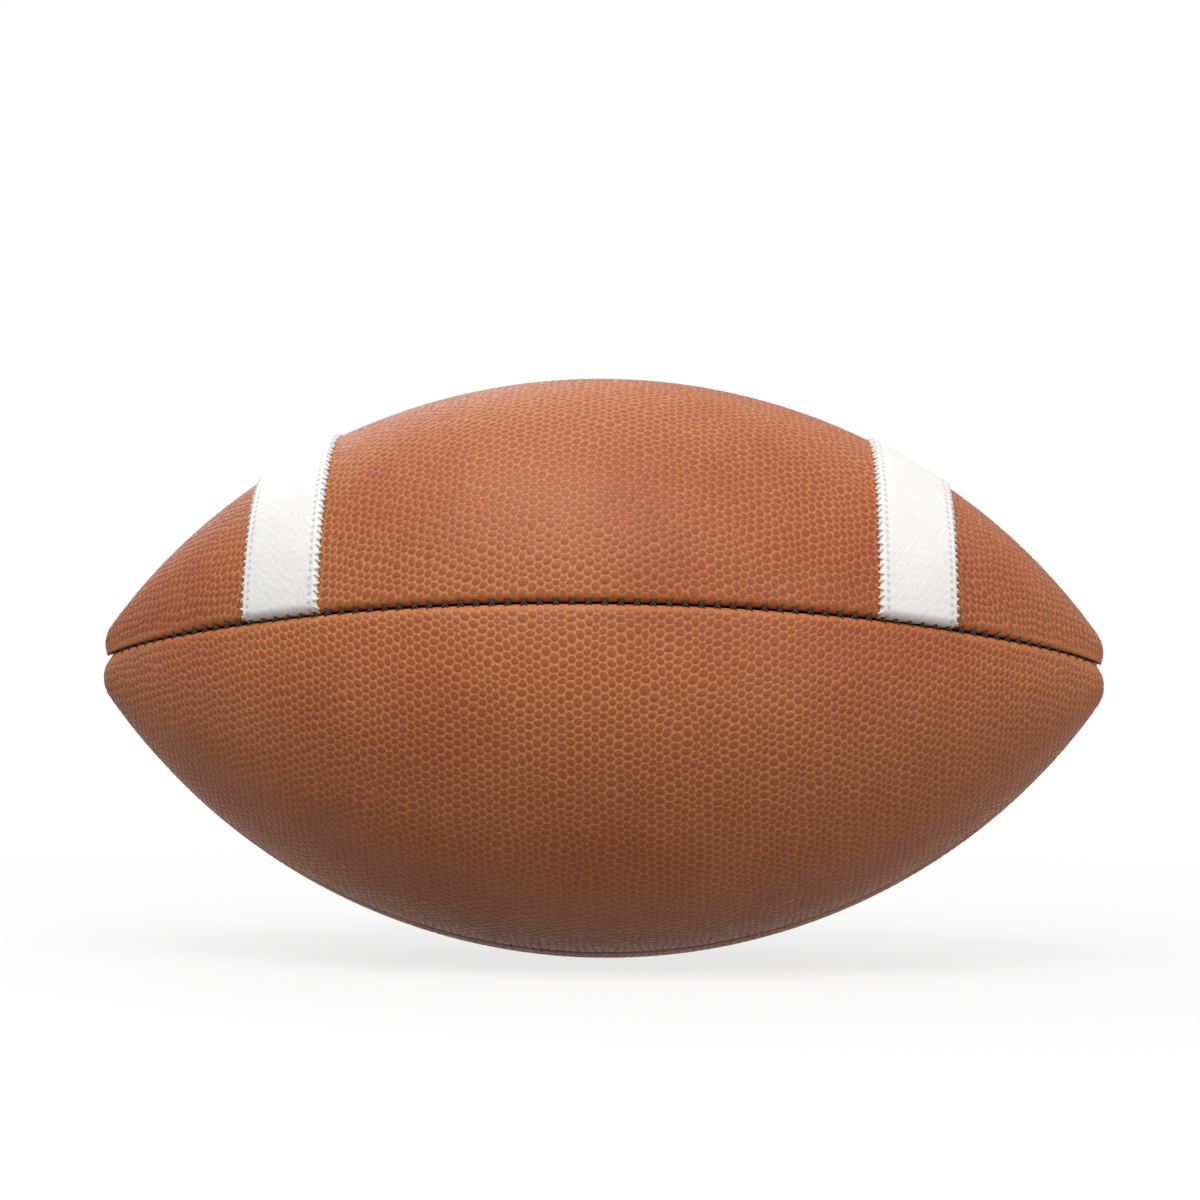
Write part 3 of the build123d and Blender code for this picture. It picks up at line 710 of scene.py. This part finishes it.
class FOOTBALL_OT_stripes(bpy.types.Operator):
    """Model the four white stripes and their whipped edges"""

    bl_idname = "football.stripes"
    bl_label = "Stripes"

    def execute(self, context):
        form = sizes()
        paint = stripe_material()
        thread = plain_material("white_thread", (0.86, 0.85, 0.82), (0.66, 0.64, 0.60), 2400, 0.6, 0.0001)
        near_u = ARC_RADIUS * math.asin(form.stripe_near / ARC_RADIUS)
        far_u = ARC_RADIUS * math.asin(form.stripe_far / ARC_RADIUS)
        for quarter in LACED:
            side = PANELS[quarter].split("_")[0]
            for end, end_name in ENDS:
                label = f"{side}_{end_name}"
                piece = self.band(quarter, end, near_u, far_u, "band_" + label, paint)
                settle(piece, "stripe_" + label)
                piece = self.whip(quarter, end, near_u, far_u, "whip_stitch_" + label, thread)
                settle(piece, "stripe_thread_" + label)
        return {"FINISHED"}

    def band(self, quarter, end, near_u, far_u, name, paint):
        """One raised band from seam to seam, with soft edges and a row of needle holes along each."""
        form = sizes()
        u_row = np.linspace(near_u, far_u, STRIPE_ROWS) * end
        u, t = np.meshgrid(u_row, np.linspace(-1, 1, STRIPE_COLUMNS), indexing="ij")
        v = flatten(quarter, u, t)[1]
        from_edge = np.minimum(np.abs(u) - near_u, far_u - np.abs(u))
        rise = 1 - np.clip(from_edge / STRIPE_EDGE_ROUND, 0, 1)
        height = form.stripe_height * np.sqrt(np.maximum(1 - rise**2, 0))
        wave = np.sin(v * 2.1 + 1.3 * np.sin(u * 1.7)) * np.sin(u * 2.6 + 0.9 * np.sin(v * 1.2))
        height = height + WRINKLE_HEIGHT * wave * (1 - rise)
        step = np.mod(v, form.stripe_stitch) - form.stripe_stitch / 2
        hole = np.exp(-((from_edge - NEEDLE_INSET) ** 2 + step**2) / NEEDLE_SIZE**2)
        height = height - NEEDLE_DEPTH * hole
        outer = skin(quarter, u, t, height)
        under = skin(quarter, u, t, np.full_like(u, -STRIPE_SUNK))
        rows, columns = STRIPE_ROWS, STRIPE_COLUMNS
        start = rows * columns
        faces = grid_faces(rows, columns, 0, False) + grid_faces(rows, columns, start, True)
        sides = [[row * columns + column for row in range(rows)] for column in (0, columns - 1)]
        rims = [*sides, list(range(columns)), list(range(start - columns, start))]
        for rim in rims:
            faces += wall_faces(rim, [start + index for index in rim])
        points = np.concatenate([outer.reshape(-1, 3), under.reshape(-1, 3)])
        # The needle holes' painted shade, carried to the shader as the hole mask
        marks = np.concatenate([NEEDLE_HOLE_SHADE * hole.ravel(), np.zeros(hole.size)])
        piece = add_mesh(name, points, faces, paint, {"hole": marks})
        close_and_orient(piece)
        return piece

    def whip(self, quarter, end, near_u, far_u, name, thread):
        """Slanting stitches that climb over both edges of a stripe, each the other way from the last."""
        form = sizes()
        points, directions = [], []
        for edge_u, inward in ((near_u, 1), (far_u, -1)):
            radius = float(meridian(np.array(edge_u))[1])
            half_width = radius * WHIP_SPREAD
            count = int(2 * half_width / form.stripe_stitch)
            t = np.linspace(-WHIP_SPAN_SHARE, WHIP_SPAN_SHARE, count)
            slant = WHIP_SLANT_SHARE * np.where(np.arange(count) % 2 == 0, 1, -1)
            out_u = np.full(count, end * (edge_u - inward * WHIP_REACH))
            in_u = np.full(count, end * (edge_u + inward * WHIP_REACH))
            outside = skin(quarter, out_u, t - slant, np.full(count, WHIP_FOOT))
            inside = skin(quarter, in_u, t + slant, np.full(count, form.stripe_height + WHIP_TOP))
            points.append((outside + inside) / 2)
            directions.append(unit(inside - outside))
        points, directions = np.concatenate(points), np.concatenate(directions)
        return sew(name, points, directions, WHIP_RADIUS, WHIP_HALF_LENGTH, thread)


class FOOTBALL_OT_seams(bpy.types.Operator):
    """Sew the dark stitches across the seams"""

    bl_idname = "football.seams"
    bl_label = "Seam stitches"

    def execute(self, context):
        form = sizes()
        thread = plain_material("dark_thread", (0.042, 0.025, 0.018), form.thread_dark, 2200, 0.8, 0.0001)
        last = HALF_MERIDIAN - STITCH_FREE_TIP
        for seam, name in enumerate(SEAMS):
            count = int(2 * last / form.seam_stitch)
            u = np.linspace(-last, last, count)
            if name == "lace":
                u = u[np.abs(u) > LACE_ZONE]
            roll = roll_at(meridian(u)[1])
            lift = roll - np.minimum(STITCH_DEPTH, roll)
            centre = skin(seam, u, np.full(u.size, -1.0), lift)
            angle = seam_angle(seam)
            across = np.array([0, math.sin(angle), math.cos(angle)])
            slants = [unit(across + np.array([slant, 0, 0])) for slant in (STITCH_SLANT, -STITCH_SLANT)]
            crossed = np.concatenate([np.tile(slant, (u.size, 1)) for slant in slants])
            points = np.concatenate([centre, centre])
            piece = sew("stitches_" + name, points, crossed, STITCH_RADIUS, STITCH_HALF_LENGTH, thread)
            settle(piece, "seam_thread_" + name)
        return {"FINISHED"}


def strap(path, side, width, thickness):
    """Points and faces of a flat lace with rounded edges along a path."""
    ring = LACE_RING_POINTS
    along = unit(np.gradient(path, axis=0))
    up = unit(np.cross(along, side))
    turn = np.linspace(0, 2 * math.pi, ring, endpoint=False)
    across = np.sign(np.cos(turn)) * np.abs(np.cos(turn)) ** LACE_SIDE_POWER * width / 2
    over = np.sign(np.sin(turn)) * np.abs(np.sin(turn)) ** LACE_TOP_POWER * thickness / 2
    points = path[:, None] + across[None, :, None] * side[:, None] + over[None, :, None] * up[:, None]
    faces = []
    for step in range(len(path) - 1):
        for k in range(ring):
            after = (k + 1) % ring
            low, high = step * ring, (step + 1) * ring
            faces.append([low + k, low + after, high + after, high + k])
    last = (len(path) - 1) * ring
    faces += [list(range(ring))[::-1], list(range(last, last + ring))]
    return points.reshape(-1, 3), faces


class FOOTBALL_OT_lace(bpy.types.Operator):
    """Model the flat lace: one long run on the seam and the bars that cross over it"""

    bl_idname = "football.lace"
    bl_label = "Lace"

    def execute(self, context):
        lean = seam_angle(LACE_SEAM)
        across = np.array([0, math.sin(lean), math.cos(lean)])
        pieces = [self.long_run(across)] + [self.bar(place, across) for place in LACE_PLACES]
        points, faces, start = [], [], 0
        for some_points, some_faces in pieces:
            points.append(some_points)
            faces += [[start + index for index in face] for face in some_faces]
            start += len(some_points)
        material = plain_material("white_lace", (0.84, 0.83, 0.80), (0.70, 0.68, 0.65), 1100, 0.55, 0.0003)
        piece = add_mesh("flat_lace", np.concatenate(points), faces, material, {})
        close_and_orient(piece)
        settle(piece, "lace")
        return {"FINISHED"}

    def seat(self, u):
        """Points on the lace seam, level with the skin, and the way out from them."""
        points = skin(LACE_SEAM, u, np.full(u.size, -1.0), roll_at(meridian(u)[1]))
        slope = (u / ARC_RADIUS)[:, None]
        away = outward(np.full(u.size, seam_angle(LACE_SEAM)))
        return points, away * np.cos(slope) + np.array([1.0, 0, 0]) * np.sin(slope)

    def long_run(self, across):
        """The run along the seam, which dips into the leather at both ends."""
        u = np.linspace(-LACE_END, LACE_END, LACE_RUN_POINTS)
        points, out = self.seat(u)
        dive = LACE_END_DROP * np.clip((np.abs(u) - LACE_END + LACE_END_BEND) / LACE_END_BEND, 0, 1) ** 2
        path = points + out * (LACE_SEAT - dive)[:, None]
        return strap(path, np.tile(across, (u.size, 1)), LACE_WIDTH, LACE_THICKNESS)

    def bar(self, place, across):
        """One bar across the seam, arched over the long run and bent into its two holes."""
        end = LACE_REACH + BAR_OVERRUN
        s = np.linspace(-end, end, BAR_POINTS)
        points, out = self.seat(np.full(s.size, place))
        rise = BAR_SEAT + BAR_ARCH * np.exp(-((s / BAR_ARCH_HALF_WIDTH) ** 4))
        dive = BAR_DROP * np.clip((np.abs(s) - BAR_BEND_START) / BAR_BEND, 0, 1) ** BAR_BEND_POWER
        path = points + across * s[:, None] + out * (rise - dive)[:, None]
        slope = place / ARC_RADIUS
        away = outward(np.array(seam_angle(LACE_SEAM)))
        along = np.array([math.cos(slope), 0, 0]) - math.sin(slope) * away
        return strap(path, np.tile(-along, (s.size, 1)), LACE_WIDTH, LACE_THICKNESS)


class FOOTBALL_OT_fittings(bpy.types.Operator):
    """Finish the valve and what lies inside"""

    bl_idname = "football.fittings"
    bl_label = "Valve and inside"

    def execute(self, context):
        finishes = {
            "valve": plain_material(
                "valve_rubber", (0.07, 0.06, 0.055), (0.04, 0.035, 0.03), 900, 0.6, 0.0001),
            "bladder": plain_material(
                "bladder_rubber", (0.06, 0.06, 0.06), (0.03, 0.03, 0.03), 300, 0.5, 0.0001),
            "cloth": plain_material(
                "lining_cloth", (0.72, 0.66, 0.54), (0.50, 0.44, 0.34), 1500, 0.85, 0.0002),
        }
        kinds = {"valve_housing": "valve", "valve_plug": "valve", "bladder": "bladder"}
        for name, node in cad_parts.items():
            cloth = name.startswith("lining") or name in ("lace_facing_front", "lace_facing_rear", "lace_pad")
            kind = "cloth" if cloth else kinds.get(name)
            if kind:
                node.data.materials.clear()
                node.data.materials.append(finishes[kind])
        return {"FINISHED"}


class FOOTBALL_OT_stage(bpy.types.Operator):
    """Set the floor, the light and the camera"""

    bl_idname = "football.stage"
    bl_label = "Stage"

    def execute(self, context):
        scene = context.scene
        scene.view_settings.view_transform = "Standard"
        self.floor()
        self.world(scene)
        for name, place, size, energy in LAMPS:
            lamp = bpy.data.lights.new(name, "AREA")
            lamp.size, lamp.energy = size, energy
            holder = bpy.data.objects.new(name, lamp)
            scene.collection.objects.link(holder)
            holder.location = place
            aim = -np.array(place)
            holder.rotation_euler = (
                math.atan2(math.hypot(aim[0], aim[1]), -aim[2]), 0, math.atan2(aim[1], aim[0]) - math.pi / 2)
        self.camera(scene)
        return {"FINISHED"}

    def floor(self):
        """A pale floor that looks white, keeps the ball's shadow and throws little light back up."""
        material, nodes, links = new_material("pale_floor")
        nodes.remove(nodes["Principled BSDF"])
        output = nodes["Material Output"]
        dim, pale, white = (nodes.new("ShaderNodeBsdfDiffuse"), nodes.new("ShaderNodeBsdfDiffuse"),
                            nodes.new("ShaderNodeEmission"))
        dim.inputs["Color"].default_value = (0.22, 0.22, 0.22, 1)
        pale.inputs["Color"].default_value = (0.9, 0.9, 0.9, 1)
        seen, whole = nodes.new("ShaderNodeMixShader"), nodes.new("ShaderNodeMixShader")
        place, far = nodes.new("ShaderNodeTexCoord"), nodes.new("ShaderNodeVectorMath")
        far.operation = "LENGTH"
        links.new(place.outputs["Object"], far.inputs[0])
        white_share = ramp(nodes, links, far.outputs["Value"], *SHADOW_REACH, SHADOW_WHITE, 1.0)
        links.new(white_share, seen.inputs["Fac"])
        links.new(pale.outputs[0], seen.inputs[1])
        links.new(white.outputs[0], seen.inputs[2])
        links.new(seeing_rays(nodes, links), whole.inputs["Fac"])
        links.new(dim.outputs[0], whole.inputs[1])
        links.new(seen.outputs[0], whole.inputs[2])
        links.new(whole.outputs[0], output.inputs["Surface"])
        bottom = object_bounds()[0][2] - FLOOR_GAP
        mesh = bpy.data.meshes.new("floor")
        turns = ((-1, -1), (1, -1), (1, 1), (-1, 1))
        corners = [(x * FLOOR_HALF, y * FLOOR_HALF, bottom) for x, y in turns]
        mesh.from_pydata(corners, [], [(0, 1, 2, 3)])
        mesh.materials.append(material)
        plane = bpy.data.objects.new("floor", mesh)
        bpy.context.scene.collection.objects.link(plane)
        plane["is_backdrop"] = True

    def world(self, scene):
        """White to the eye and to gloss, and a soft grey light on everything else."""
        world = bpy.data.worlds.new("studio")
        world.use_nodes = True
        scene.world = world
        nodes, links = world.node_tree.nodes, world.node_tree.links
        strength = ramp(nodes, links, seeing_rays(nodes, links), 0.0, 1.0, WORLD_LIGHT, 1.0)
        background = nodes["Background"]
        background.inputs["Color"].default_value = (1, 1, 1, 1)
        links.new(strength, background.inputs["Strength"])

    def camera(self, scene):
        """Level with the ball, a little to one side and rolled a little, at the photograph's distance."""
        lens = bpy.data.cameras.new("camera")
        lens.sensor_width = SENSOR
        lens.lens = SENSOR * CAMERA_DISTANCE / FRAME_WIDTH
        lens.shift_x = (FRAME_PIXELS / 2 - BALL_CENTRE_PIXEL[0]) / FRAME_PIXELS
        lens.shift_y = (BALL_CENTRE_PIXEL[1] - FRAME_PIXELS / 2) / FRAME_PIXELS
        camera = bpy.data.objects.new("camera", lens)
        camera.location = (
            CAMERA_DISTANCE * math.sin(CAMERA_SIDE), -CAMERA_DISTANCE * math.cos(CAMERA_SIDE), 0)
        camera.rotation_euler = (math.pi / 2, -CAMERA_ROLL, CAMERA_SIDE)
        scene.collection.objects.link(camera)
        scene.camera = camera


class FOOTBALL_PT_finish(bpy.types.Panel):
    """Sizes, colours and steps of the ball's finish"""

    bl_label = "Football finish"
    bl_space_type = "VIEW_3D"
    bl_region_type = "UI"
    bl_category = "Football"

    def draw(self, context):
        for name in FootballSizes.__annotations__:
            self.layout.prop(context.scene.football, name)
        for step in STEPS:
            self.layout.operator(step.bl_idname)


STEPS = (FOOTBALL_OT_panels, FOOTBALL_OT_stripes, FOOTBALL_OT_seams, FOOTBALL_OT_lace,
         FOOTBALL_OT_fittings, FOOTBALL_OT_stage)


def register():
    for kind in (FootballSizes, *STEPS, FOOTBALL_PT_finish):
        bpy.utils.register_class(kind)
    bpy.types.Scene.football = bpy.props.PointerProperty(type=FootballSizes)


def unregister():
    del bpy.types.Scene.football
    for kind in (FOOTBALL_PT_finish, *reversed(STEPS), FootballSizes):
        bpy.utils.unregister_class(kind)


def main():
    register()
    bpy.ops.football.panels()
    bpy.ops.football.stripes()
    bpy.ops.football.seams()
    bpy.ops.football.lace()
    bpy.ops.football.fittings()
    bpy.ops.football.stage()


if __name__ == "__main__":
    main()
